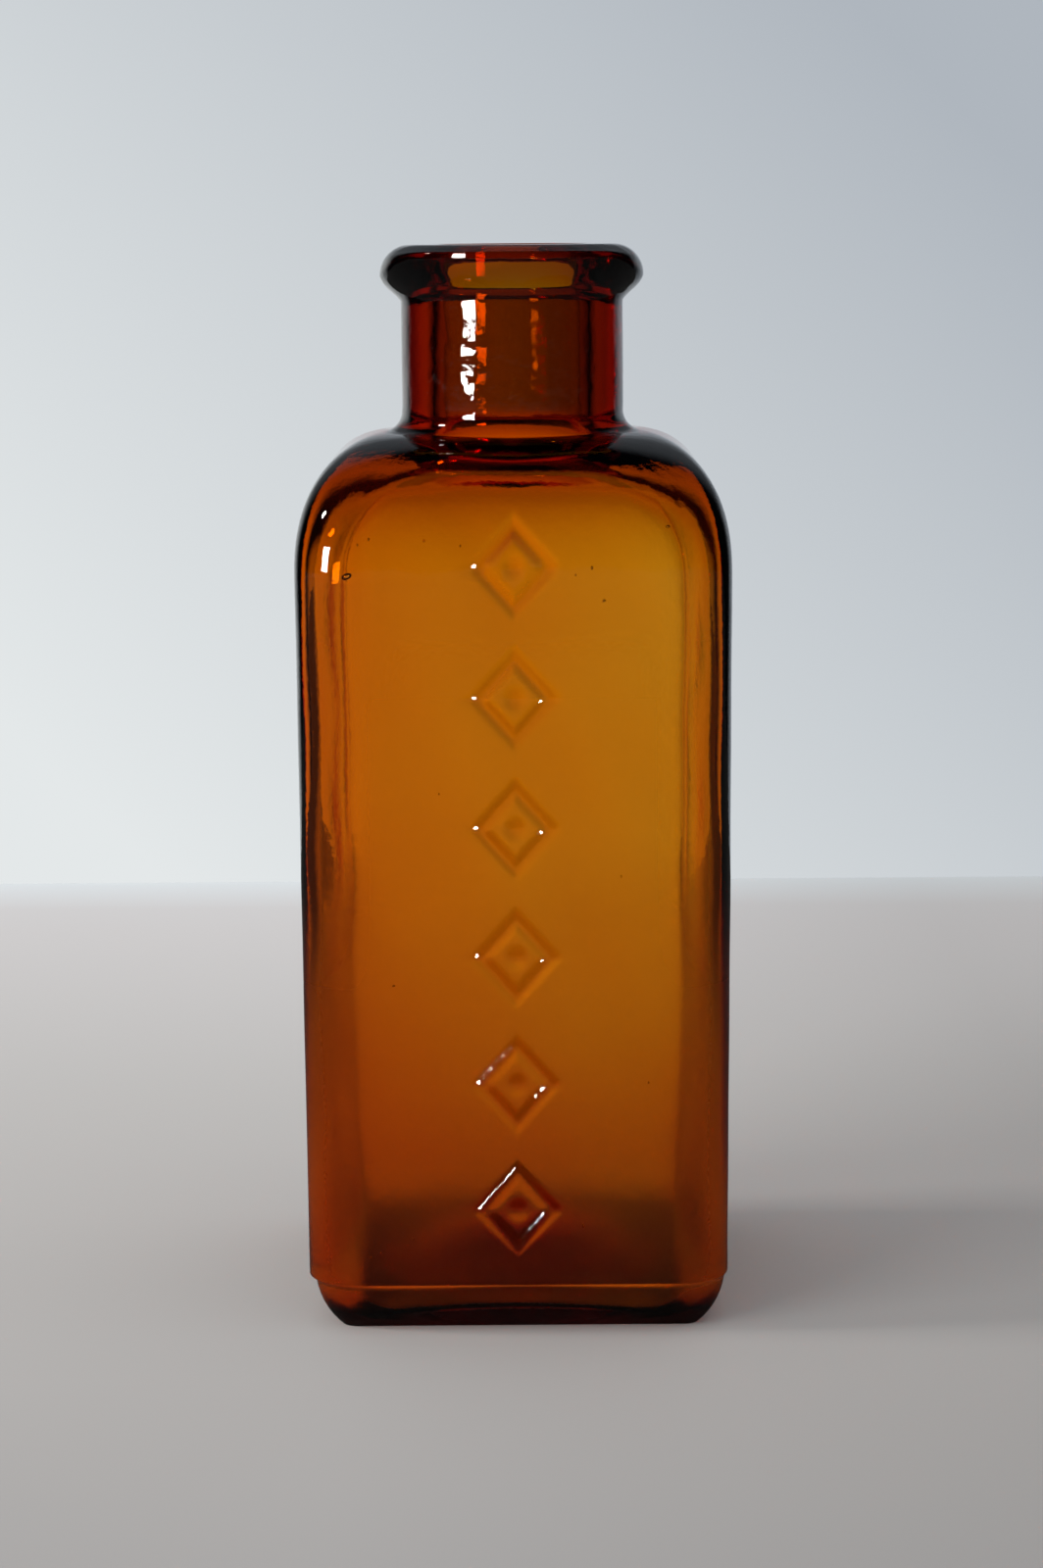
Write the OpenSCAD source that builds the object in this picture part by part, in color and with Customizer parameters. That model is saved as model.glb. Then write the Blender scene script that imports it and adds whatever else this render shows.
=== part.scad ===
// Square amber poison bottle with a wide mouth.
// Four formed sections of one empty bottle: lip, neck, body and base.
// Z is up, the origin is in the middle of the resting face,
// and the panel with the raised warning pattern faces -Y.

/* [Body] */
// Outside width across the flat panels at the seam
body_w = 50.8; // [42:0.2:62]
// How much wider the body is where the shoulder starts
body_flare = 0.6; // [0:0.1:1.5]
// Radius of the upright corners
corner_r = 5; // [3:0.5:8]
// Height of the panels, from the base seam to the start of the shoulder
panel_h = 84.8; // [60:0.2:110]
// Thickness of the panel glass
wall = 2.2; // [1.4:0.1:3.5]

/* [Shoulder] */
// Height of the shoulder, from the panels to the foot of the neck
shoulder_h = 16; // [11:0.1:24]
// Fullness of the shoulder curve, where 2 is an ellipse
shoulder_fullness = 2.38; // [2:0.05:3]
// Glass between the inside and the outside at the top of the shoulder
shoulder_wall = 3.4; // [2.8:0.1:5]

/* [Neck] */
// Outside diameter of the neck
neck_d = 27; // [22.4:0.2:33]
// Height of the neck, from its foot to the underside of the lip
neck_h = 15.5; // [9:0.1:24]
// Radius of the hollow at the foot of the neck
neck_foot_r = 2.5; // [1.5:0.1:4]
// Diameter of the bore through the neck and lip
bore_d = 16.8; // [12:0.2:20.2]
// Radius where the bore opens into the body
throat_r = 2.6; // [1:0.1:3.2]

/* [Lip] */
// How far the lip stands out from the neck
lip_overhang = 2.3; // [1.6:0.1:4.5]
// Height of the lip
lip_h = 6.8; // [5:0.1:10]
// Radius of the lip's nose, at its widest
lip_nose_r = 1.5; // [0.8:0.1:2]
// Radius of the lip's outer top edge
lip_edge_r = 2.8; // [1.4:0.1:3]
// Radius of the lip's inner top edge
mouth_edge_r = 1.2; // [0.6:0.1:1.6]

/* [Base] */
// Height of the seam between the base and the body
seam_z = 6.2; // [4.5:0.1:8]
// How far the base stands back from the body at the seam
seam_step = 0.5; // [0.2:0.05:0.8]
// How far the base sits to one side of the body
base_shift = 0.2; // [0:0.05:0.3]
// Radius of the heel
heel_r = 8.25; // [6:0.05:10]
// Glass over the resting ring
floor_t = 3.4; // [2.4:0.1:5]
// Width of the resting ring round the push-up
rest_ring_w = 3.6; // [1.5:0.1:8]
// Height of the push-up
push_up_h = 4.6; // [1:0.1:6]
// Glass over the middle of the push-up
crown_t = 3; // [2:0.1:5]

/* [Raised pattern] */
// Distance from one lozenge to the next
lozenge_pitch = 15.4; // [12.6:0.1:24]
// Height of the middle of the lowest lozenge above the seam
lozenge_low = 9.4; // [8:0.1:14]
// Width of a lozenge
lozenge_w = 11; // [7:0.2:14]
// Height of a lozenge
lozenge_h = 12.4; // [8:0.2:15]
// Width of the raised ridge at its foot
ridge_w = 1.9; // [1.2:0.1:2.4]
// How far the ridges and bosses stand out
relief = 0.8; // [0.4:0.05:1.2]
// Diameter of the boss in the middle of a lozenge
boss_d = 3; // [2:0.1:3.4]

/* [Hidden] */
amber = [0.62, 0.30, 0.04, 0.75];
dark_amber = [0.42, 0.15, 0.03, 0.85];

// Steps in a quarter turn of a loft section, and along a curved run
corner_steps = 12;
curve_steps = 14;
// How far the raised pattern is rooted in the panel
root = 0.7;

seam_half = body_w / 2;
top_half = (body_w + body_flare) / 2;
neck_half = neck_d / 2;
bore_half = bore_d / 2;
lip_half = neck_half + lip_overhang;
inner_corner_r = max(corner_r - wall * 0.6, 2);

shoulder_z = seam_z + panel_h;
foot_z = shoulder_z + shoulder_h;
lip_z = foot_z + neck_h;
top_z = lip_z + lip_h;

// The foot of the neck ends where its hollow meets the slope of the shoulder
foot_angle = 66;
foot_half = neck_half + neck_foot_r * (1 - cos(foot_angle));
foot_rise = neck_foot_r * sin(foot_angle);
throat_z = foot_z - shoulder_wall;
throat_fillet = min(throat_r, shoulder_wall - 0.1);
throat_half = bore_half + throat_fillet;

// The heel's arc ends short of a quarter turn, and the resting ring starts there
heel_center_z = heel_r * 0.8;
base_half = seam_half - seam_step;

// As many lozenges as the panel takes, the top one just onto the shoulder
lozenge_z = seam_z + lozenge_low;
lozenge_count = floor((shoulder_z + 2 - lozenge_z) / lozenge_pitch) + 1;

// Plain helpers
function mix(a, b, t) = a + (b - a) * t;
function curve(from, to, steps) = [for (i = [0 : steps]) mix(from, to, i / steps)];

// Points on an arc about a centre, from one angle to another
function arc(center, r, from, to, steps = curve_steps) =
    [for (a = curve(from, to, steps)) center + r * [cos(a), sin(a)]];

// Points on a quarter of a superellipse, as [half width, height]
function full_curve(inner, outer, low, high, power, steps = curve_steps) =
    [for (a = curve(0, 90, steps))
        [inner + (outer - inner) * pow(max(cos(a), 0), 2 / power),
         low + (high - low) * pow(sin(a), 2 / power)]];

// One section of a loft: a square of half width h with corners of radius r
function section(h, r, z) =
    [for (k = [0 : 3], j = [0 : corner_steps - 1])
        let (a = 90 * k + (j + 0.5) * 90 / corner_steps,
             sx = cos(90 * k + 45) > 0 ? 1 : -1,
             sy = sin(90 * k + 45) > 0 ? 1 : -1)
        [sx * (h - r) + r * cos(a), sy * (h - r) + r * sin(a), z]];

// Closed skin through a chain of sections that comes back to its first one
module ring_loft(sections) {
    n = len(sections[0]);
    m = len(sections);
    points = [for (s = sections, p = s) p];
    faces = [for (i = [0 : m - 1], j = [0 : n - 1], half = [0, 1])
        let (a = i * n, b = ((i + 1) % m) * n, q = (j + 1) % n)
        half == 0 ? [a + j, b + j, b + q] : [a + j, b + q, a + q]];
    polyhedron(points, faces, convexity = 6);
}

// Closed skin through a chain of sections with a flat cap at each end
module capped_loft(sections) {
    n = len(sections[0]);
    m = len(sections);
    points = [for (s = sections, p = s) p];
    sides = [for (i = [0 : m - 2], j = [0 : n - 1], half = [0, 1])
        let (a = i * n, b = (i + 1) * n, q = (j + 1) % n)
        half == 0 ? [a + j, b + j, b + q] : [a + j, b + q, a + q]];
    first = [[for (j = [0 : n - 1]) j]];
    last = [[for (j = [n - 1 : -1 : 0]) (m - 1) * n + j]];
    polyhedron(points, concat(sides, first, last), convexity = 6);
}

// The corners of a section open out evenly from the panels to a circle
function corner_at(h, square_half, square_r, round_half) =
    h - (square_half - square_r) * (h - round_half) / (square_half - round_half);

// A round section whose flats, not its corners, lie on the radius
function clear_round(p) =
    section(p[0] / cos(45 / corner_steps), p[0] / cos(45 / corner_steps), p[1]);

function outer_shoulder(p) =
    section(p[0], corner_at(p[0], top_half, corner_r, foot_half), p[1]);
function inner_shoulder(p) =
    section(p[0], corner_at(p[0], top_half - wall, inner_corner_r, throat_half), p[1]);

// The shoulder curve would run on to its peak, and is cut off at the foot of the neck
shoulder_core = foot_half - 2.2;
foot_share = (foot_half - shoulder_core) / (top_half - shoulder_core);
peak_rise = shoulder_h / pow(1 - pow(foot_share, shoulder_fullness), 1 / shoulder_fullness);
shoulder_curve = [for (p = full_curve(shoulder_core, top_half, shoulder_z,
    shoulder_z + peak_rise, shoulder_fullness)) if (p[1] < foot_z - 0.2) p];

// Half width of the front at a height, up the panel and onto the shoulder
function front_at(z) = z < shoulder_z
    ? mix(seam_half, top_half, (z - seam_z) / panel_h)
    : mix(shoulder_core, top_half,
        pow(1 - pow((z - shoulder_z) / peak_rise, shoulder_fullness), 1 / shoulder_fullness));

function heel_half(z) =
    base_half - heel_r + sqrt(heel_r * heel_r - pow(max(heel_center_z - z, 0), 2));

// The corners tighten as the heel rolls in, as an inward offset does
function heel_corner(z) =
    corner_r * (1 - 0.72 * (base_half - heel_half(z)) / (base_half - heel_half(0)));

// Raised lozenge with sloping flanks and a round boss in its middle
module lozenge() {
    reach = lozenge_w / 2;
    spoke = ridge_w * sqrt(2);
    flank = spoke * 0.36;
    scale([1, lozenge_h / lozenge_w, 1])
        rotate_extrude($fn = 4)
            polygon([
                [reach - spoke, -root],
                [reach, -root],
                [reach, 0],
                [reach - flank, relief],
                [reach - spoke + flank, relief],
                [reach - spoke, 0],
            ]);
    translate([0, 0, -root])
        cylinder(d1 = boss_d + 0.4, d2 = boss_d - 0.8, h = relief + root, $fn = 24);
}

// Lip: a tooled bead with a full nose, a rounded crest and a sloping underside
module lip() {
    nose = [lip_half - lip_nose_r, top_z - lip_h * 0.54];
    edge = [lip_half - lip_edge_r - 0.7, top_z - lip_edge_r];
    mouth = [bore_half + mouth_edge_r, top_z - mouth_edge_r];
    color(dark_amber)
        rotate_extrude($fn = 96)
            polygon(concat(
                [[bore_half, lip_z], [neck_half, lip_z], [neck_half + 0.15, lip_z + 0.5]],
                arc(nose, lip_nose_r, -48, 12, 8),
                arc(edge, lip_edge_r, 12, 90, 10),
                arc(mouth, mouth_edge_r, 90, 180, 6)
            ));
}

// Neck: a straight tube that flares at its foot to meet the shoulder
module neck() {
    foot = [neck_half + neck_foot_r, foot_z + foot_rise];
    color(dark_amber)
        rotate_extrude($fn = 96)
            polygon(concat(
                [[neck_half, lip_z], [bore_half, lip_z], [bore_half, foot_z]],
                arc(foot, neck_foot_r, 180 + foot_angle, 180, 10)
            ));
}

// Body: four panels under a shoulder that turns from square to round
module body() {
    outside = concat(
        [section(seam_half, corner_r, seam_z)],
        [for (p = shoulder_curve) outer_shoulder(p)],
        [section(foot_half, foot_half, foot_z)]);
    throat = arc([throat_half, throat_z + throat_fillet], throat_fillet, 180, 270, 6);
    cavity = full_curve(throat_half, top_half - wall, shoulder_z - 1, throat_z,
        shoulder_fullness);
    inside = concat(
        [clear_round([bore_half, foot_z])],
        [for (p = throat) clear_round(p)],
        [for (i = [curve_steps - 1 : -1 : 0]) inner_shoulder(cavity[i])],
        [section(seam_half - wall, inner_corner_r, seam_z)]);
    color(amber) {
        ring_loft(concat(outside, inside));
        for (i = [0 : lozenge_count - 1])
            let (z = lozenge_z + i * lozenge_pitch,
                 low = front_at(z - lozenge_h / 2),
                 high = front_at(z + lozenge_h / 2))
            translate([0, -(low + high) / 2, z])
                rotate([90 - atan((low - high) / lozenge_h), 0, 0])
                    lozenge();
    }
}

// Base: heel, resting ring and push-up, with the thick floor of the bottle
module base() {
    dome_half = heel_half(0) - rest_ring_w;
    crown_r = (dome_half * dome_half + push_up_h * push_up_h) / (2 * push_up_h);
    dome_angle = asin(dome_half / crown_r);
    inner_half = seam_half - wall;
    bowl_r = seam_z - floor_t + 2;
    floor_half = inner_half - bowl_r;
    floor_corner = inner_corner_r + 3;
    floor_rise = push_up_h + crown_t - floor_t;
    under = [for (t = curve(0.06, 1, 6))
        let (a = dome_angle * t)
        section(crown_r * sin(a), crown_r * sin(a), push_up_h - crown_r * (1 - cos(a)))];
    heel = [for (t = curve(0, 1, 9))
        let (z = seam_z * t * t)
        section(heel_half(z), heel_corner(z), z)];
    bowl = [for (a = curve(0, 90, 7))
        section(floor_half + bowl_r * cos(a), mix(inner_corner_r, floor_corner, a / 90),
            seam_z - (seam_z - floor_t) * sin(a))];
    crown = [for (t = curve(0.9, 0.06, 6))
        section(floor_half * t, floor_half * mix(t, floor_corner / floor_half * t, t * t * t),
            floor_t + floor_rise * (1 + cos(180 * t)) / 2)];
    color(amber)
        translate([base_shift, 0, 0])
            capped_loft(concat(under, heel, bowl, crown));
}

lip();
neck();
body();
base();
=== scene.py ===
import math
import random

import bpy
import numpy as np
from mathutils import Euler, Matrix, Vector


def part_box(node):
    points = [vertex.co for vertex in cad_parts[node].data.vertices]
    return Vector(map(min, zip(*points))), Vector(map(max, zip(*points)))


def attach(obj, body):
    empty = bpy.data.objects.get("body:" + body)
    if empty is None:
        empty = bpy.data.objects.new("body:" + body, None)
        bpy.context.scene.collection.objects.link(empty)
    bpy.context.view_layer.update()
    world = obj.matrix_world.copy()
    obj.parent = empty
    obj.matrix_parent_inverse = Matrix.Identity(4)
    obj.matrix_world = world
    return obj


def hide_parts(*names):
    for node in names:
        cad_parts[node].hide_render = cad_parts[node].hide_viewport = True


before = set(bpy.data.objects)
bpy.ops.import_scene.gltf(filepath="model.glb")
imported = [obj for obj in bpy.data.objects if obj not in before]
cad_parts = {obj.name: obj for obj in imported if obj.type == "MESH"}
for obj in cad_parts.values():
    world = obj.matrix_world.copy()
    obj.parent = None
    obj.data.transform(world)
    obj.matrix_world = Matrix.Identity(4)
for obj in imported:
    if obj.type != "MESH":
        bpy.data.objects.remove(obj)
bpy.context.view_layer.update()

mm = 0.001


# shader maths: a socket that can be used in plain expressions

class Val:
    def __init__(self, tree, socket):
        self.tree = tree
        self.socket = socket

    def joined(self, operation, first, second):
        made = self.tree.node("ShaderNodeMath", {"operation": operation}, [first, second])
        return Val(self.tree, made.outputs[0])

    def __add__(self, other):
        return self.joined("ADD", self, other)

    def __radd__(self, other):
        return self.joined("ADD", other, self)

    def __sub__(self, other):
        return self.joined("SUBTRACT", self, other)

    def __rsub__(self, other):
        return self.joined("SUBTRACT", other, self)

    def __mul__(self, other):
        return self.joined("MULTIPLY", self, other)

    def __rmul__(self, other):
        return self.joined("MULTIPLY", other, self)


class Tree:
    def __init__(self, owner):
        owner.use_nodes = True
        self.nodes = owner.node_tree.nodes
        self.links = owner.node_tree.links
        self.nodes.clear()

    def node(self, kind, settings=None, inputs=None):
        made = self.nodes.new(kind)
        for name, value in (settings or {}).items():
            if name == "stops":
                self.setStops(made.color_ramp.elements, value)
            else:
                setattr(made, name, value)
        pairs = inputs.items() if isinstance(inputs, dict) else enumerate(inputs or [])
        for key, value in pairs:
            self.feed(made.inputs[key], value)
        return made

    def feed(self, socket, value):
        if isinstance(value, Val):
            self.links.new(value.socket, socket)
        elif isinstance(value, bpy.types.NodeSocket):
            self.links.new(value, socket)
        else:
            socket.default_value = value

    def setStops(self, band, stops):
        while len(band) < len(stops):
            band.new(1.0)
        for element, (place, colour) in zip(band, stops):
            element.position = place
            element.color = colour

    def val(self, kind, settings=None, inputs=None, out=0):
        return Val(self, self.node(kind, settings, inputs).outputs[out])

    # a value that goes from one end of "to" to the other while another crosses a span
    def ramp(self, value, span, to=(0.0, 1.0), kind="LINEAR"):
        return self.val("ShaderNodeMapRange", {"interpolation_type": kind},
                        {"Value": value, "From Min": span[0], "From Max": span[1],
                         "To Min": to[0], "To Max": to[1]})

    def absolute(self, value):
        return self.val("ShaderNodeMath", {"operation": "ABSOLUTE"}, [value])


# sizes of the bottle, in metres; heights and widths over all come from the CAD model

lipLow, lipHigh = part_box("lip")
neckLow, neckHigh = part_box("neck")
bodyLow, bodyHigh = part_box("body")

shape = {
    "topZ": lipHigh.z,
    "lipZ": lipLow.z,
    "footZ": neckLow.z,
    "seamZ": bodyLow.z,
    "lipHalf": lipHigh.x,
    "footHalf": neckHigh.x,
    "bodyHalf": bodyHigh.x,
    "flare": 0.3 * mm,          # each side stands this much wider at the shoulder than at the seam
    "corner": 6.0 * mm,         # radius of the upright corners
    "shoulderRise": 16.0 * mm,
    "fullness": 2.38,           # of the shoulder curve, 2 would be an ellipse
    "coreIn": 2.2 * mm,         # the curve would run on this far in under the neck
    "neckHalf": 13.5 * mm,
    "neckFootR": 2.5 * mm,
    "footAngle": 66,
    "workedFade": 3.0 * mm,     # over which the marks of the tool begin, at the neck's foot
    "boreHalf": 8.4 * mm,
    "noseR": 3.65 * mm,
    "mouthR": 1.2 * mm,
    "seamStep": 0.5 * mm,
    "seamLip": 0.12 * mm,
    "baseShift": 0.2 * mm,      # the base sits a little to one side
    "heelR": 8.25 * mm,
    "heelMiddle": 0.8,          # height of the heel curve's middle, in radii
    "heelSharpens": 0.72,       # share of the corner radius that is lost down the heel
    "pushUpHalf": 18.0 * mm,
    "pushUp": 4.6 * mm,
    "panelWaves": 0.028 * mm,   # how far the outside strays from true
    "neckWaves": 0.03 * mm,
    "lipWaves": 0.02 * mm,
}

inner = {
    "wall": 2.2 * mm,
    "shoulderWall": 3.4 * mm,
    "throatR": 4.6 * mm,
    "floor": 1.9 * mm,
    "floorCorner": 6.5 * mm,
    "arch": 1.0 * mm,           # the floor's edge is this much higher between the corners
    "bowl": 3.6 * mm,           # how far the floor's edge rounds in from the wall
    "corner": 4.4 * mm,
    "cornerLow": 5.6 * mm,      # the corners fill up with glass towards the floor
    "cornerZ": 45 * mm,
    "crown": 5.7 * mm,          # rise of the inside floor over the push-up
    "drift": 0.10 * mm,         # how far the blown inside wanders from even
    "heavy": 0.80 * mm,         # extra glass low down, where it pooled
    "heavyZ": 20 * mm,
    "heavyFall": 18 * mm,
    "heavyMost": 2.0 * mm,
    "lean": 0.020,              # the inside stands nearer the front and back on the right
}

motif = {
    "count": 6,
    "pitch": 15.4 * mm,
    "lowZ": 15.6 * mm,
    "width": 11.0 * mm,
    "height": 12.4 * mm,
    "ridge": 1.9 * mm,
    "relief": 0.45 * mm,
    "ridgeFoot": 1.2,           # where a ridge starts, in halves of its width
    "ridgeSlope": 1.15,         # and how far it takes to rise
    "boss": 3.0 * mm,
    "bossFoot": 0.15 * mm,
    "bossSlope": 1.2,
    "bossShare": 0.8,           # its height, as a share of the ridge's
}

# a speck of glass that stands out of the right side
nub = {
    "angle": 0.0,
    "z": 92.4 * mm,
    "radius": 0.75 * mm,
    "height": 0.4 * mm,
    "slope": 1.6,
}


def mix(a, b, t):
    return a + (b - a) * t


def ease(t):
    t = np.clip(t, 0.0, 1.0)
    return t * t * (3 - 2 * t)


def spread(start, stop, steps):
    return [mix(start, stop, i / steps) for i in range(steps + 1)]


def arcPoints(center, r, start, stop, steps):
    return [(center[0] + r * math.cos(math.radians(a)), center[1] + r * math.sin(math.radians(a)))
            for a in spread(start, stop, steps)]


seamHalf = shape["bodyHalf"] - shape["flare"]
topHalf = shape["bodyHalf"]
shoulderZ = shape["footZ"] - shape["shoulderRise"]
shoulderCore = shape["footHalf"] - shape["coreIn"]
footShare = (shape["footHalf"] - shoulderCore) / (topHalf - shoulderCore)
fullness = shape["fullness"]
peakRise = shape["shoulderRise"] / (1 - footShare ** fullness) ** (1 / fullness)
baseHalf = seamHalf - shape["seamStep"]
heelZ = shape["heelR"] * shape["heelMiddle"]


# Every ring of the bottle has its points on the same compass angles: close together
# over the raised pattern at the front and round the corners, wider apart elsewhere.

spacing = {
    "front": 0.6,               # degrees from point to point
    "frontWithin": 14,
    "corner": 0.95,
    "cornerWithin": 9,
    "elsewhere": 3.0,
    "nub": (-1.0, -0.6, -0.2, 0.2, 0.6, 1.0),
    "nubClear": 1.3,
    "row": 0.46 * mm,           # height of a row of the panels
}


def ringAngles():
    angles = [nub["angle"] + a for a in spacing["nub"]]
    a = -135.0
    while a < 225.0 - 1e-6:
        if abs(a - nub["angle"]) > spacing["nubClear"]:
            angles.append(a)
        if abs(a + 90) < spacing["frontWithin"]:
            a += spacing["front"]
        elif abs((a % 90) - 45) < spacing["cornerWithin"]:
            a += spacing["corner"]
        else:
            a += spacing["elsewhere"]
    return np.radians(np.array(sorted(angles)))


compass = ringAngles()
ringCos, ringSin = np.cos(compass), np.sin(compass)


# distance from the axis to a square of half width h with corners of radius r
def reach(h, r):
    u, v = np.abs(ringCos), np.abs(ringSin)
    c = h - r
    flat = h / np.maximum(u, v)
    inside = np.maximum(c * c * (u + v) ** 2 - 2 * c * c + r * r, 0)
    corner = c * (u + v) + np.sqrt(inside)
    onFlat = np.minimum(u, v) * flat <= c
    return np.where(onFlat, flat, corner)


# the corner radius on the way from a square to a circle
def cornerAt(h, squareHalf, squareR, roundHalf):
    return h - (squareHalf - squareR) * (h - roundHalf) / (squareHalf - roundHalf)


def shoulderHalf(z, core, outer, low, rise):
    t = min(max((z - low) / rise, 0.0), 1.0)
    return core + (outer - core) * (1 - t ** fullness) ** (1 / fullness)


# slow waves, for surfaces that flowed: a few crossing sines from one seed
class Waves:
    def __init__(self, seed, count, shortest, longest):
        draw = random.Random(seed)
        self.parts = []
        for i in range(count):
            length = math.exp(draw.uniform(math.log(shortest), math.log(longest)))
            way = Vector((draw.gauss(0, 1), draw.gauss(0, 1), draw.gauss(0, 0.6))).normalized()
            self.parts.append((way * (2 * math.pi / length), draw.uniform(0, 6.283)))

    def at(self, x, y, z):
        total = 0
        for way, phase in self.parts:
            total = total + np.sin(way.x * x + way.y * y + way.z * z + phase)
        return total / math.sqrt(len(self.parts))


outerWaves = Waves(seed=3, count=9, shortest=7 * mm, longest=26 * mm)
innerWaves = Waves(seed=11, count=9, shortest=12 * mm, longest=44 * mm)


# the raised pattern: lozenge ridges, each with a boss in its middle
def reliefAt(x, z):
    a = motif["width"] / 2 - motif["ridge"] * math.sqrt(2) / 2
    b = a * motif["height"] / motif["width"]
    across = a * b / math.hypot(a, b)
    half = motif["ridge"] / 2
    height = np.zeros_like(x)
    for i in range(motif["count"]):
        dz = z - (motif["lowZ"] + i * motif["pitch"])
        ridge = np.abs(np.abs(x) / a + abs(dz) / b - 1) * across
        boss = np.hypot(x, dz) / (motif["boss"] / 2 + motif["bossFoot"])
        rise = ease((half * motif["ridgeFoot"] - ridge) / (half * motif["ridgeSlope"]))
        bossRise = motif["bossShare"] * ease((1.0 - boss) * motif["bossSlope"])
        height = np.maximum(height, np.maximum(rise, bossRise))
    return height * motif["relief"]


def nubAt(z):
    across = (compass - math.radians(nub["angle"])) * topHalf
    gap = np.hypot(across, z - nub["z"]) / nub["radius"]
    return nub["height"] * ease((1 - gap) * nub["slope"])


# a ring as an array of points; sway is how much of the slow waves it takes
def ring(z, h, r, shiftX=0.0, sway=0.0, waves=outerWaves, relief=False):
    far = reach(h, r)
    x, y = far * ringCos, far * ringSin
    if sway:
        far = far + sway * waves.at(x, y, z)
        x, y = far * ringCos, far * ringSin
    if relief:
        x = x + nubAt(z)
        raised = np.where((y < 0) & (np.abs(x) < motif["width"]), reliefAt(x, z), 0)
        y = y - raised
    return np.stack([x + shiftX, y, np.full_like(x, z)], axis=1)


def roundRing(z, radius, sway=0.0):
    return ring(z, radius, radius, 0.0, sway)


# a ring of the inside: the glass is thicker low down and a little thinner on the right
def innerRing(z, h, r, sway=1.0, shiftX=0.0):
    extra = inner["heavy"] * math.exp(-(z - inner["heavyZ"]) / inner["heavyFall"])
    points = ring(z, h, r, shiftX, inner["drift"] * sway, innerWaves)
    extra = min(extra, inner["heavyMost"])
    points[:, 1] *= 1 + inner["lean"] * points[:, 0] / h - extra * sway / h
    return points


# how far along its side each point of a ring stands: 0 in the middle, 1 at the corner
alongSide = np.minimum(np.abs(ringCos), np.abs(ringSin)) / np.maximum(np.abs(ringCos),
                                                                      np.abs(ringSin))


print("bottle: outside rings")

outside = []

# under the base: the push-up, then the resting ring
crownR = (shape["pushUpHalf"] ** 2 + shape["pushUp"] ** 2) / (2 * shape["pushUp"])
domeAngle = math.asin(shape["pushUpHalf"] / crownR)
for t in spread(0.04, 1, 9):
    radius = crownR * math.sin(domeAngle * t)
    outside.append(ring(shape["pushUp"] - crownR * (1 - math.cos(domeAngle * t)), radius, radius,
                        shape["baseShift"]))


def heelHalf(z):
    drop = max(heelZ - z, 0)
    return baseHalf - shape["heelR"] + math.sqrt(shape["heelR"] ** 2 - drop ** 2)


# heel, up to the seam, with the seam's small lip
for t in spread(0, 1, 14):
    z = shape["seamZ"] * t * t
    h = heelHalf(z)
    rolledIn = (baseHalf - h) / (baseHalf - heelHalf(0))
    outside.append(ring(z, h, shape["corner"] * (1 - shape["heelSharpens"] * rolledIn),
                        shape["baseShift"]))
seamLip = shape["seamLip"]
for degrees in (0, 45, 90):
    a = math.radians(degrees)
    outside.append(ring(shape["seamZ"] + seamLip * (1 - math.cos(a)),
                        seamHalf - seamLip * (1 - math.sin(a)), shape["corner"]))

# panels, in rows fine enough for the raised pattern
z = shape["seamZ"] + seamLip + spacing["row"]
while z < shoulderZ:
    t = (z - shape["seamZ"]) / (shoulderZ - shape["seamZ"])
    sway = shape["panelWaves"] * ease((z - shape["seamZ"] - 1 * mm) / (3 * mm))
    outside.append(ring(z, mix(seamHalf, topHalf, t), shape["corner"], 0.0, sway, relief=True))
    z += spacing["row"]

# shoulder, on to the foot of the neck
steps = 44
power = 2 / fullness
for i in range(steps + 1):
    a = math.pi / 2 * i / steps
    h = shoulderCore + (topHalf - shoulderCore) * math.cos(a) ** power if i < steps else shoulderCore
    z = shoulderZ + peakRise * math.sin(a) ** power
    if z > shape["footZ"] - 0.05 * mm:
        break
    r = cornerAt(h, topHalf, shape["corner"], shape["footHalf"])
    outside.append(ring(z, h, r, 0.0, shape["panelWaves"] * (1 - i / steps), relief=True))

# neck and its foot
foot = (shape["neckHalf"] + shape["neckFootR"],
        shape["footZ"] + shape["neckFootR"] * math.sin(math.radians(shape["footAngle"])))
for radius, z in arcPoints(foot, shape["neckFootR"], 180 + shape["footAngle"], 180, 9):
    outside.append(roundRing(z, radius))
for z in spread(foot[1] + 0.8 * mm, shape["lipZ"] - 0.6 * mm, 14):
    outside.append(roundRing(z, shape["neckHalf"], shape["neckWaves"]))

# lip: underside, then one full curve over the nose to the crest, and the edge of the mouth
lip = {
    # radius and height in mm, from the line where the tool ended out to the nose
    "underside": [(13.52, 122.60), (13.72, 122.78), (14.08, 123.18), (14.60, 123.66),
                  (15.14, 124.14), (15.56, 124.62), (15.84, 125.08)],
    "noseOut": 0.2 * mm,
    "frontRise": 2.1 * mm,      # shaped by hand, its nose stands this much higher in front
    "frontDraw": 0.045,         # and is drawn in by this share
    "frontEnds": 0.75,          # how far round the front reaches, as a sine
    "rootShare": 0.55,          # of the rise, taken as soon as the lip leaves the neck
    "rootOut": 13.5 * mm,
    "rootSlope": 0.2 * mm,
}
nose = (shape["lipHalf"] + lip["noseOut"] - shape["noseR"], shape["topZ"] - shape["noseR"])
mouth = (shape["boreHalf"] + shape["mouthR"], shape["topZ"] - shape["mouthR"])
lipLine = [(radius * mm, z * mm) for radius, z in lip["underside"]]
lipLine += arcPoints(nose, shape["noseR"], -3, 90, 18)
lipLine += arcPoints(mouth, shape["mouthR"], 90, 180, 7)
faceOn = ease(-ringSin / lip["frontEnds"])
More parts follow.
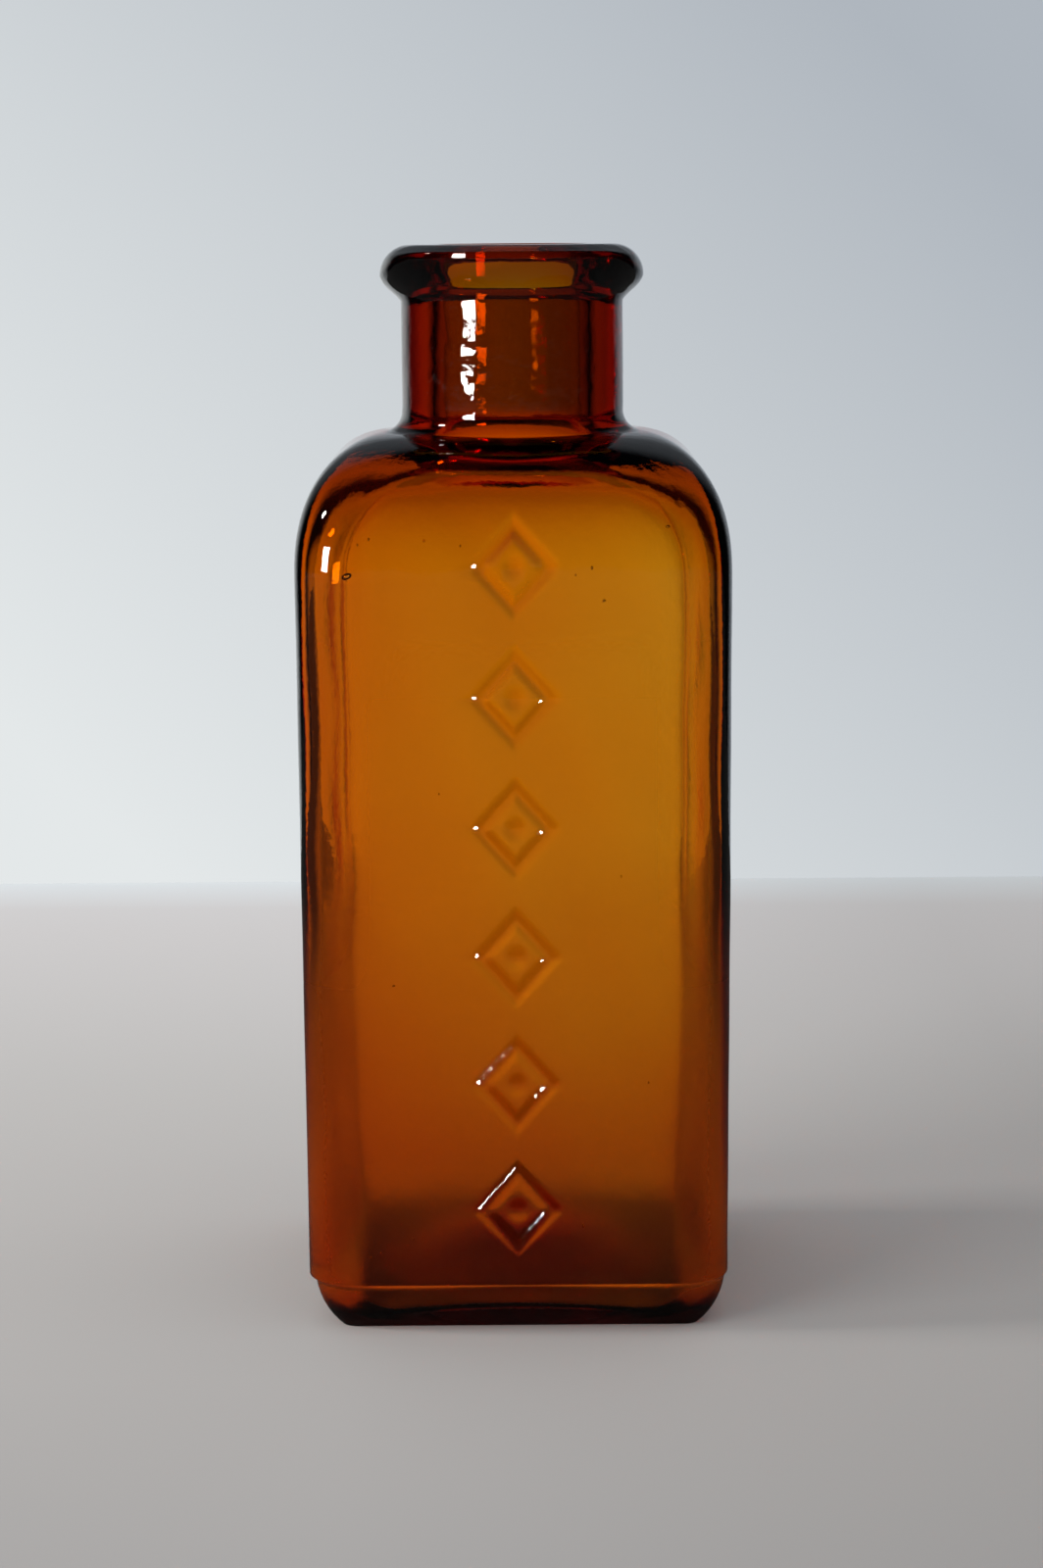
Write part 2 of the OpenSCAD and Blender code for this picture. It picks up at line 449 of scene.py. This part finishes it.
for radius, z in lipLine:
    rising = mix(ease((z - shape["lipZ"]) / (nose[1] - shape["lipZ"])),
                 ease((radius - lip["rootOut"]) / lip["rootSlope"]), lip["rootShare"])
    rising = min(rising, ease((shape["topZ"] - z) / (shape["topZ"] - nose[1])))
    points = roundRing(z, radius, shape["lipWaves"])
    if radius > mouth[0]:
        points[:, 2] += lip["frontRise"] * rising * faceOn
        points[:, 1] *= 1 - lip["frontDraw"] * rising * faceOn
    outside.append(points)

print("bottle: inside rings")

inside = []
throatZ = shape["footZ"] - inner["shoulderWall"]
throatHalf = shape["boreHalf"] + inner["throatR"]
throat = (throatHalf, throatZ + inner["throatR"])
for z in spread(mouth[1] - 0.9 * mm, throat[1] + 0.8 * mm, 14):
    inside.append(roundRing(z, shape["boreHalf"], shape["lipWaves"]))
for radius, z in arcPoints(throat, inner["throatR"], 180, 270, 9)[:-1]:
    inside.append(roundRing(z, radius))
innerTop = topHalf - inner["wall"]
innerSeam = seamHalf - inner["wall"]
cavityLow = shoulderZ - 1 * mm
steps = 25
for i in range(steps + 1):
    a = math.pi / 2 * (1 - i / steps)
    h = throatHalf + (innerTop - throatHalf) * max(math.cos(a), 0) ** power
    z = cavityLow + (throatZ - cavityLow) * math.sin(a) ** power
    r = cornerAt(h, innerTop, inner["corner"], throatHalf)
    inside.append(innerRing(z, h, r, ease(i / steps)))
for z in spread(cavityLow - 1.5 * mm, shape["seamZ"], 46):
    t = (z - shape["seamZ"]) / (cavityLow - shape["seamZ"])
    filled = ease((inner["cornerZ"] - z) / (inner["cornerZ"] - shape["seamZ"]))
    inside.append(innerRing(z, mix(innerSeam, innerTop, t),
                            mix(inner["corner"], inner["cornerLow"], filled)))

# the thick floor, drawn up over the push-up
bowlR = inner["bowl"]
floorHalf = innerSeam - bowlR
floorCorner = inner["floorCorner"]
lift = inner["arch"] * (1 - alongSide ** 2)
for a in spread(12, 90, 10):
    s, c = math.sin(math.radians(a)), math.cos(math.radians(a))
    points = innerRing(shape["seamZ"] - (shape["seamZ"] - inner["floor"]) * s,
                       floorHalf + bowlR * c, mix(inner["cornerLow"], floorCorner, a / 90),
                       c, shape["baseShift"] * a / 90)
    points[:, 2] += lift * s
    inside.append(points)
for t in spread(0.92, 0.04, 14):
    rounding = floorHalf * mix(t, floorCorner / floorHalf * t, t ** 3)
    points = ring(inner["floor"] + inner["crown"] * (1 + math.cos(math.pi * t)) / 2,
                  floorHalf * t, rounding, shape["baseShift"])
    points[:, 2] += lift * t ** 3
    inside.append(points)


# Seeds are small bubbles caught in the wall: across, height, length in mm and tilt in
# degrees for those of the front panel, and more drawn by lot for the other panels.

seeds = {
    "front": [(-19.3, 91.6, 0.62, 22), (-16.7, 95.8, 0.20, 0), (-10.3, 95.6, 0.17, 0),
              (-18.0, 95.2, 0.16, 0), (-6.1, 95.0, 0.15, 0), (9.1, 92.4, 0.22, 0),
              (7.2, 91.6, 0.14, 0), (10.5, 88.6, 0.24, 30), (17.9, 97.0, 0.26, 10),
              (-12.6, 11.9, 0.20, 0), (-17.7, 9.6, 0.17, 0), (-16.5, 10.2, 0.16, 0),
              (7.8, 13.4, 0.26, 0), (12.4, 56.0, 0.16, 0), (-14.5, 43.0, 0.18, 15),
              (15.6, 31.0, 0.15, 0), (-8.9, 66.0, 0.14, 0)],
    "others": 22,
    "along": (-18, 18),
    "heights": (12, 86),
    "lengths": (0.12, 0.34),
    "slim": 0.62,               # how narrow a seed is for its length
    "rows": 6,
    "spokes": 10,
}


def seedShell(center, length, tilt, inwardAxis):
    rows, spokes = seeds["rows"], seeds["spokes"]
    points, faces = [], []
    for i in range(rows + 1):
        polar = math.pi * i / rows
        for j in range(spokes):
            turn = 2 * math.pi * j / spokes
            local = Vector((math.sin(polar) * math.cos(turn) * seeds["slim"],
                            math.sin(polar) * math.sin(turn) * seeds["slim"],
                            math.cos(polar))) * length
            local.rotate(Euler((0, math.radians(90 - tilt) if tilt else 0, 0)))
            if inwardAxis == "x":
                local = Vector((local.y, local.x, local.z))
            points.append(Vector(center) + local)
    for i in range(rows):
        for j in range(spokes):
            k = (j + 1) % spokes
            below, above = i * spokes, (i + 1) * spokes
            faces.append([below + j, below + k, above + k, above + j])
    return points, faces


def seedPlaces():
    depth = inner["wall"] / 2
    for x, z, length, tilt in seeds["front"]:
        h = mix(seamHalf, topHalf, (z * mm - shape["seamZ"]) / (shoulderZ - shape["seamZ"]))
        if z * mm > shoulderZ:
            h = shoulderHalf(z * mm, shoulderCore, topHalf, shoulderZ, peakRise)
        yield (x * mm, -(h - depth), z * mm), length * mm, tilt, "y"
    draw = random.Random(29)
    for i in range(seeds["others"]):
        side = draw.choice(["left", "right", "back"])
        along = draw.uniform(*seeds["along"]) * mm
        z = draw.uniform(*seeds["heights"]) * mm
        h = mix(seamHalf, topHalf, (z - shape["seamZ"]) / (shoulderZ - shape["seamZ"])) - depth
        length = draw.uniform(*seeds["lengths"]) * mm
        if side == "back":
            yield (along, h, z), length, 0, "y"
        else:
            yield (h if side == "right" else -h, along, z), length, 0, "x"


# where the inside is dull with age: low down all round, and higher up only in the front
# and back panels
dull = {
    "panelEnd": 0.86,           # how far along a side, where the corner is 1
    "panelFade": 0.14,
    "low": 40 * mm,
    "lowFade": 20 * mm,
    "top": 74 * mm,
    "topFade": 26 * mm,
}


# the whole bottle is one closed skin: up the outside, over the mouth and down the inside
def buildBottle():
    rings = outside + inside
    n, m = len(compass), len(rings)
    points = np.concatenate(rings)
    first, last = rings[0].mean(axis=0), rings[-1].mean(axis=0)
    points = np.concatenate([points, [first, last]])
    faces = []
    for i in range(m - 1):
        for j in range(n):
            k = (j + 1) % n
            faces.append((i * n + j, i * n + k, (i + 1) * n + k, (i + 1) * n + j))
    for j in range(n):
        k = (j + 1) % n
        faces.append((n * m, k, j))
        faces.append((n * m + 1, (m - 1) * n + j, (m - 1) * n + k))
    points = [tuple(p) for p in points]
    for center, length, tilt, axis in seedPlaces():
        shellPoints, shellFaces = seedShell(center, length, tilt, axis)
        start = len(points)
        points += [tuple(p) for p in shellPoints]
        faces += [tuple(start + v for v in face) for face in shellFaces]
    mesh = bpy.data.meshes.new("bottleGlass")
    mesh.from_pydata(points, [], faces)
    mesh.validate()
    mesh.shade_smooth()
    marks = {"inside": np.zeros(len(points)), "worked": np.zeros(len(points))}
    heights = np.array([p[2] for p in points])
    facing = np.where(np.abs(ringSin) > np.abs(ringCos),
                      ease((dull["panelEnd"] - alongSide) / dull["panelFade"]), 0)
    innerRows = slice(n * len(outside), n * m)
    low = 1 - ease((heights[innerRows] - dull["low"]) / dull["lowFade"])
    marks["inside"][innerRows] = low + (1 - low) * np.tile(facing, len(inside))
    marks["inside"] *= 1 - ease((heights - dull["top"]) / dull["topFade"])
    marks["worked"][:] = ease((heights - shape["footZ"]) / shape["workedFade"])
    for name, values in marks.items():
        mesh.attributes.new(name, "FLOAT", "POINT").data.foreach_set("value", values)
    bottle = bpy.data.objects.new("bottleGlass", mesh)
    bpy.context.scene.collection.objects.link(bottle)
    print("bottle:", len(points), "points,", sum(len(face) - 2 for face in faces), "triangles")
    return bottle


# amber glass

amber = {
    "ior": 1.52,
    "roughness": 0.015,
    "haze": 0.27,                            # added where the inside is dull
    "density": 1400.0,                       # per metre, for the colour that is soaked up most
    "tint": (0.956, 0.757, 0.0, 1),          # what is let through
    "skinTones": [(0.35, (0.97, 0.95, 0.91, 1)), (0.62, (0.99, 0.975, 0.94, 1))],
    "neckSkin": (0.52, 0.76, 0.80, 1),
    "peel": {"Scale": 900.0, "Detail": 3.0, "Roughness": 0.55},
    "flow": {"Scale": 160.0, "Detail": 2.0, "Roughness": 0.5, "Distortion": 0.6},
    "chatter": {"Scale": 340.0, "Detail": 1.0, "Roughness": 0.5, "Distortion": 0.4},
    "smudge": {"Scale": 45.0, "Detail": 5.0, "Roughness": 0.6, "Distortion": 0.4},
    "peelShare": 0.35,
    "chatterShare": 1.6,                     # left by the tool, on the neck and lip only
    "bump": {"Strength": 0.06, "Distance": 0.0006},
}


def amberGlass():
    material = bpy.data.materials.new("amberGlass")
    tree = Tree(material)
    place = tree.node("ShaderNodeTexCoord").outputs["Object"]
    inside = tree.val("ShaderNodeAttribute", {"attribute_name": "inside"}, out="Fac")
    worked = tree.val("ShaderNodeAttribute", {"attribute_name": "worked"}, out="Fac")
    peel = tree.val("ShaderNodeTexNoise", {}, {"Vector": place, **amber["peel"]})
    flow = tree.val("ShaderNodeTexNoise", {}, {"Vector": place, **amber["flow"]})
    chatter = tree.val("ShaderNodeTexNoise", {}, {"Vector": place, **amber["chatter"]})
    height = peel * amber["peelShare"] + flow + chatter * worked * amber["chatterShare"]
    bump = tree.node("ShaderNodeBump", {}, {**amber["bump"], "Height": height})
    smudge = tree.val("ShaderNodeTexNoise", {}, {"Vector": place, **amber["smudge"]})
    skin = tree.node("ShaderNodeValToRGB", {"stops": amber["skinTones"]}, {"Fac": smudge})
    tint = tree.node("ShaderNodeMix", {"data_type": "RGBA"}, {0: worked, 6: skin.outputs["Color"],
                                                              7: amber["neckSkin"]})
    shader = tree.node("ShaderNodeBsdfPrincipled", {}, {
        "Base Color": tint.outputs[2],
        "Roughness": amber["roughness"] + inside * amber["haze"],
        "IOR": amber["ior"],
        "Transmission Weight": 1.0,
        "Normal": bump.outputs["Normal"],
    })
    soak = tree.node("ShaderNodeVolumeAbsorption", {}, {"Color": amber["tint"],
                                                        "Density": amber["density"]})
    tree.node("ShaderNodeOutputMaterial", {}, {"Surface": shader.outputs["BSDF"],
                                               "Volume": soak.outputs["Volume"]})
    return material


bottle = buildBottle()
bottle.data.materials.append(amberGlass())
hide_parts("lip", "neck", "body", "base")
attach(bottle, "root")

print("stage: table, backdrop light and lamps")

stage = {
    "tableBack": 0.254,         # the table ends this far behind the bottle
    "tableSide": 1.6,
    "tableFront": 1.6,
    "nearY": -0.12,             # the painted light on the table runs from here to the back edge
    # painted light: darker near the front, lighter far off, then blending into the backdrop's colour
    # at the back edge
    "tablePaintedLight": [(0.0, (0.410, 0.394, 0.382, 1)), (0.215, (0.505, 0.485, 0.467, 1)),
                   (0.565, (0.570, 0.552, 0.532, 1)), (0.88, (0.665, 0.640, 0.628, 1)),
                   (0.93, (0.68, 0.66, 0.65, 1)), (1.0, (0.775, 0.807, 0.815, 1))],
    "tablePaintedShadeRight": (0.78, 0.78, 0.78, 1),     # painted shade: the table is this much darker on the right, as though the light from the left fell off
    "rightFrom": (-0.02, 0.08),
    "tableDim": (0.06, 0.058, 0.056, 1),     # in reflections and bounced light
    "tableRoughness": 0.9,
    "frontStrip": (0.05, 0.10),              # half widths of what glass sees of the table
    "sideStrip": (0.04, 0.10),
    "sideShare": 0.5,                        # how bright either is to the sides
    "paleLow": (0.775, 0.807, 0.815, 1),
    "paleHigh": (0.429, 0.468, 0.515, 1),
    "climb": (-0.30, 0.16),                  # of the backdrop's colour, up and to the right
    "dimRoom": (0.006, 0.006, 0.008, 1),
    "ambient": (0.62, 0.64, 0.67, 1),
    "cone": (0.62, 0.86),                    # what glass sees of the backdrop, as a cosine
    "sideCone": (0.78, 0.94),
    "above": (0.06, 0.32),                   # what it mirrors gets dimmer from here up
    "aboveLoss": 0.75,
}


# The table shows the camera painted light: tones that darken towards the front and on the right, as
# light falling off, and blend into the backdrop's colour at the back edge. Glass sees them only in
# strips before and behind the bottle and, more dimly, beside it. Where it is mirrored it is dark.
def tableTop():
    side, front, back = stage["tableSide"], stage["tableFront"], stage["tableBack"]
    mesh = bpy.data.meshes.new("table")
    mesh.from_pydata([(-side, -front, 0), (side, -front, 0), (side, back, 0), (-side, back, 0)],
                     [], [(0, 1, 2, 3)])
    table = bpy.data.objects.new("table", mesh)
    bpy.context.scene.collection.objects.link(table)
    material = bpy.data.materials.new("tableTop")
    tree = Tree(material)
    path = tree.node("ShaderNodeLightPath")
    place = tree.node("ShaderNodeTexCoord").outputs["Object"]
    spot = tree.node("ShaderNodeSeparateXYZ", {}, [place])
    lit = tree.ramp(tree.absolute(spot.outputs["X"]), stage["frontStrip"], (1.0, 0.0))
    sideLit = tree.ramp(tree.absolute(spot.outputs["Y"]), stage["sideStrip"],
                        (stage["sideShare"], 0.0))
    shown = (Val(tree, path.outputs["Is Camera Ray"])
             + Val(tree, path.outputs["Is Transmission Ray"]) * (lit + sideLit))
    # painted light: the tones darken towards the front as though the light fell off
    away = tree.ramp(spot.outputs["Y"], (stage["nearY"], back))
    paintedFalloff = tree.node("ShaderNodeValToRGB", {"stops": stage["tablePaintedLight"]}, {"Fac": away})
    # painted shade: the table darkens towards the right
    across = tree.ramp(spot.outputs["X"], stage["rightFrom"])
    paintedShadeTable = tree.node("ShaderNodeMix", {"data_type": "RGBA", "blend_type": "MULTIPLY"},
                      {0: across, 6: paintedFalloff.outputs["Color"], 7: stage["tablePaintedShadeRight"]})
    colour = tree.node("ShaderNodeMix", {"data_type": "RGBA"}, {0: shown, 6: stage["tableDim"],
                                                                7: paintedShadeTable.outputs[2]})
    shader = tree.node("ShaderNodeBsdfPrincipled", {}, {"Base Color": colour.outputs[2],
                                                        "Roughness": stage["tableRoughness"],
                                                        "Specular IOR Level": 0.0})
    tree.node("ShaderNodeOutputMaterial", {}, {"Surface": shader.outputs["BSDF"]})
    mesh.materials.append(material)


# The backdrop is pale where the camera sees it. Glass sees it only in cones straight
# behind, in front and, more dimly, to the sides, as between dark flags, so that its edges
# stay dark. What it mirrors is pale behind the bottle alone.
def paleRoom():
    world = bpy.data.worlds.new("paleRoom")
    bpy.context.scene.world = world
    tree = Tree(world)
    way = tree.node("ShaderNodeTexCoord").outputs["Generated"]
    parts = tree.node("ShaderNodeSeparateXYZ", {}, [way])
    up = Val(tree, parts.outputs["Z"])
    across = Val(tree, parts.outputs["X"])
    climb = tree.ramp(up + across, stage["climb"])
    pale = tree.node("ShaderNodeValToRGB", {"stops": [(0.0, stage["paleLow"]),
                                                      (1.0, stage["paleHigh"])]}, {"Fac": climb})
    behind = tree.ramp(parts.outputs["Y"], stage["cone"], kind="SMOOTHSTEP")
    ahead = tree.ramp(tree.absolute(parts.outputs["Y"]), stage["cone"], kind="SMOOTHSTEP")
    aside = tree.ramp(tree.absolute(parts.outputs["X"]), stage["sideCone"],
                      (0.0, stage["sideShare"]), "SMOOTHSTEP")
    around = ahead + aside
    above = tree.ramp(up, stage["above"], (0.0, stage["aboveLoss"]), "SMOOTHSTEP")
    path = tree.node("ShaderNodeLightPath")
    through = Val(tree, path.outputs["Is Transmission Ray"])
    mirrored = (1 - through) * above
    share = (behind + through * (around - behind)) * (1 - mirrored)
    gloss = tree.node("ShaderNodeMix", {"data_type": "RGBA"}, {0: share, 6: stage["dimRoom"],
                                                               7: pale.outputs["Color"]})
    inGlass = through + Val(tree, path.outputs["Is Glossy Ray"])
    seen = tree.node("ShaderNodeMix", {"data_type": "RGBA"},
                     {0: inGlass, 6: stage["ambient"], 7: gloss.outputs[2]})
    final = tree.node("ShaderNodeMix", {"data_type": "RGBA"},
                      {0: path.outputs["Is Camera Ray"], 6: seen.outputs[2],
                       7: pale.outputs["Color"]})
    light = tree.node("ShaderNodeBackground", {}, {"Color": final.outputs[2], "Strength": 1.0})
    tree.node("ShaderNodeOutputWorld", {}, {"Surface": light.outputs["Background"]})


# a lamp is either seen in the glass or lights the table, so that both can be set apart
lamps = {
    "windowLight": {"place": (-1.05, -1.05, 0.255), "aim": (0, 0, 0.09),
                    "size": (0.36, 0.39), "watts": 25.0, "mirrored": True},
    "highLight": {"place": (-1.00, -0.05, 0.85), "aim": (0, 0, 0.10),
                  "size": (0.12, 0.12), "watts": 3.0, "mirrored": True},
    "roomLight": {"place": (-2.40, -1.80, 1.40), "aim": (0, 0, 0.05),
                  "size": (1.80, 1.80), "watts": 40.0, "mirrored": False},
    "sideLight": {"place": (-2.60, -0.10, 0.80), "aim": (0, 0, 0.05),
                  "size": (0.50, 0.50), "watts": 44.0, "mirrored": False},
}
lampWhite = (1.0, 0.98, 0.95)


def lamp(name, place, aim, size, watts, mirrored):
    light = bpy.data.lights.new(name, "AREA")
    light.shape = "RECTANGLE"
    light.size, light.size_y = size
    light.energy = watts
    light.color = lampWhite
    holder = bpy.data.objects.new(name, light)
    holder.location = place
    holder.rotation_euler = (Vector(aim) - Vector(place)).to_track_quat("-Z", "Y").to_euler()
    holder.visible_glossy = mirrored
    holder.visible_transmission = mirrored
    holder.visible_diffuse = not mirrored
    bpy.context.scene.collection.objects.link(holder)


tableTop()
paleRoom()
for name, settings in lamps.items():
    lamp(name, **settings)

camera = {
    "place": (0.00077, -0.4091, 0.1323),
    "down": 9.63,               # degrees below level
    "roll": -0.42,
    "focal": 3400.0,            # pixels of the 1064 x 1600 photograph
    "frameHeight": 1600.0,
    "sensor": 36.0,
    "nearest": 0.01,
}
view = bpy.data.cameras.new("camera")
view.sensor_fit = "AUTO"
view.sensor_width = camera["sensor"]
view.lens = camera["sensor"] * camera["focal"] / camera["frameHeight"]
view.clip_start = camera["nearest"]
viewer = bpy.data.objects.new("camera", view)
viewer.location = camera["place"]
turned = Euler((math.radians(90 - camera["down"]), 0, 0)).to_matrix()
turned = turned @ Euler((0, 0, math.radians(camera["roll"]))).to_matrix()
viewer.rotation_euler = turned.to_euler()
bpy.context.scene.collection.objects.link(viewer)
bpy.context.scene.camera = viewer

bpy.context.scene.view_settings.view_transform = "Standard"
